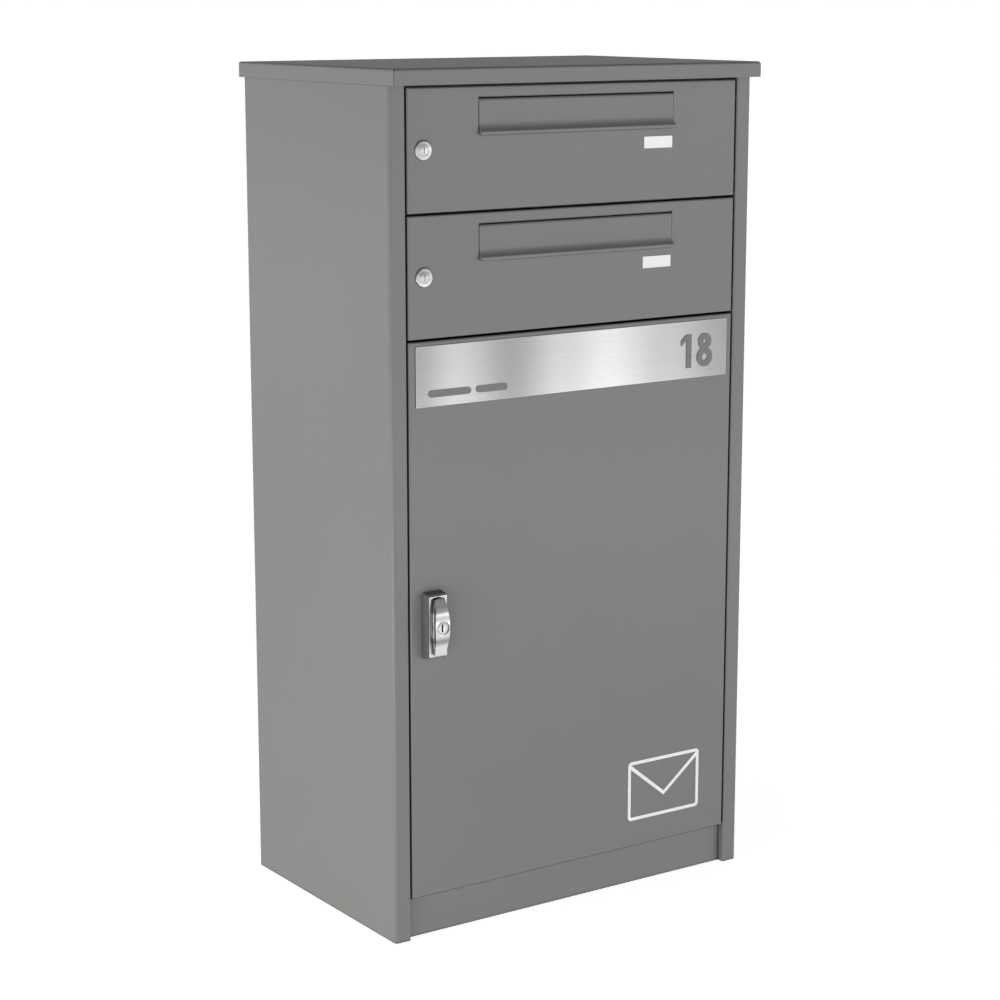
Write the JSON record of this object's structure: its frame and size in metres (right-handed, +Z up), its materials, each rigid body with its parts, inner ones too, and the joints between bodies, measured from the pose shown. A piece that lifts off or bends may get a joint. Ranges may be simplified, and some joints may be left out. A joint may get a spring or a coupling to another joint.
{
  "type": "parcel and letter cabinet",
  "caption": "Free-standing sheet-metal mail cabinet with letter doors and mail flaps above a tall parcel door, roof cap and recessed plinth.",
  "frame": {"origin": "middle of the cabinet's footprint, on the ground, on the underside of the base plate", "axes": "+X to the right seen from the front, -Y is the front with the doors, +Z up"},
  "size_m": [0.5044, 0.3489, 0.982],
  "materials": {
    "powder_coat": "satin grey powder coat with a fine texture",
    "zinc_plated": "bright zinc plating",
    "nickel": "satin nickel plating",
    "satin_chrome": "satin chrome plating",
    "dark_base": "matt dark grey moulding",
    "white_card": "white card behind clear film",
    "white_print": "matt white film",
    "grey_print": "matt grey print",
    "brushed_steel": "brushed upright, satin",
    "rubber": "matt black rubber"
  },
  "bodies": {
    "cabinet": {"side_panel_left": "powder_coat", "side_panel_right": "powder_coat", "rear_panel": "powder_coat", "roof_cap": "powder_coat", "roof_nuts": "zinc_plated", "top_rail": "powder_coat", "upper_shelf": "powder_coat", "lower_shelf": "powder_coat", "parcel_floor": "powder_coat", "base_plate": "powder_coat", "plinth_panel": "powder_coat", "plinth_screws": "zinc_plated", "rear_screws": "zinc_plated", "hinge_brackets": "zinc_plated", "hinge_pins": "zinc_plated", "letter_strikes": "zinc_plated", "parcel_strike": "zinc_plated", "door_buffers": "rubber"},
    "upper_door": {"upper_letter_door": "powder_coat", "upper_hinge_ears": "zinc_plated", "upper_slot_frame": "powder_coat", "upper_flap_pin": "zinc_plated", "upper_name_card": "white_card", "upper_lock_housing": "nickel", "upper_lock_nut": "zinc_plated"},
    "upper_mail_flap": {"upper_flap": "powder_coat"},
    "upper_lock": {"upper_lock_plug": "nickel", "upper_lock_cam": "zinc_plated", "upper_cam_screw": "zinc_plated"},
    "lower_door": {"lower_letter_door": "powder_coat", "lower_hinge_ears": "zinc_plated", "lower_slot_frame": "powder_coat", "lower_flap_pin": "zinc_plated", "lower_name_card": "white_card", "lower_lock_housing": "nickel", "lower_lock_nut": "zinc_plated"},
    "lower_mail_flap": {"lower_flap": "powder_coat"},
    "lower_lock": {"lower_lock_plug": "nickel", "lower_lock_cam": "zinc_plated", "lower_cam_screw": "zinc_plated"},
    "parcel_door_body": {"parcel_door": "powder_coat", "parcel_hinge_ears": "zinc_plated", "door_stiffener": "powder_coat", "number_plate": "brushed_steel", "house_digits": "grey_print", "name_bars": "grey_print", "door_emblem": "white_print", "latch_base": "dark_base", "latch_plate": "satin_chrome", "latch_screws": "zinc_plated"},
    "turn_handle": {"turn_grip": "satin_chrome", "latch_arm": "zinc_plated", "spindle_nut": "zinc_plated"},
    "key_cylinder": {"key_plug": "nickel"}
  },
  "joints": [
    {"name": "upper_door_hinge", "type": "hinge", "parent": "cabinet", "child": "upper_door", "pos_m": [0.219, -0.1526, 0.894], "axis": [0, 0, 1], "range_deg": [0, 105]},
    {"name": "upper_flap_hinge", "type": "hinge", "parent": "upper_door", "child": "upper_mail_flap", "pos_m": [0, -0.1554, 0.9452], "axis": [-1, 0, 0], "range_deg": [0, 85]},
    {"name": "upper_lock_turn", "type": "hinge", "parent": "upper_door", "child": "upper_lock", "pos_m": [-0.2065, -0.1586, 0.89465], "axis": [0, 1, 0], "range_deg": [0, 90]},
    {"name": "lower_door_hinge", "type": "hinge", "parent": "cabinet", "child": "lower_door", "pos_m": [0.219, -0.1526, 0.757], "axis": [0, 0, 1], "range_deg": [0, 105]},
    {"name": "lower_flap_hinge", "type": "hinge", "parent": "lower_door", "child": "lower_mail_flap", "pos_m": [0, -0.1554, 0.8082], "axis": [-1, 0, 0], "range_deg": [0, 85]},
    {"name": "lower_lock_turn", "type": "hinge", "parent": "lower_door", "child": "lower_lock", "pos_m": [-0.2065, -0.1586, 0.75765], "axis": [0, 1, 0], "range_deg": [0, 90]},
    {"name": "parcel_door_hinge", "type": "hinge", "parent": "cabinet", "child": "parcel_door_body", "pos_m": [0.219, -0.1526, 0.3685], "axis": [0, 0, 1], "range_deg": [0, 105]},
    {"name": "handle_turn", "type": "hinge", "parent": "parcel_door_body", "child": "turn_handle", "pos_m": [-0.1988, -0.1586, 0.3685], "axis": [0, 1, 0], "range_deg": [0, 90]},
    {"name": "key_turn", "type": "hinge", "parent": "turn_handle", "child": "key_cylinder", "pos_m": [-0.1988, -0.1586, 0.3685], "axis": [0, 1, 0], "range_deg": [0, 90]}
  ]
}
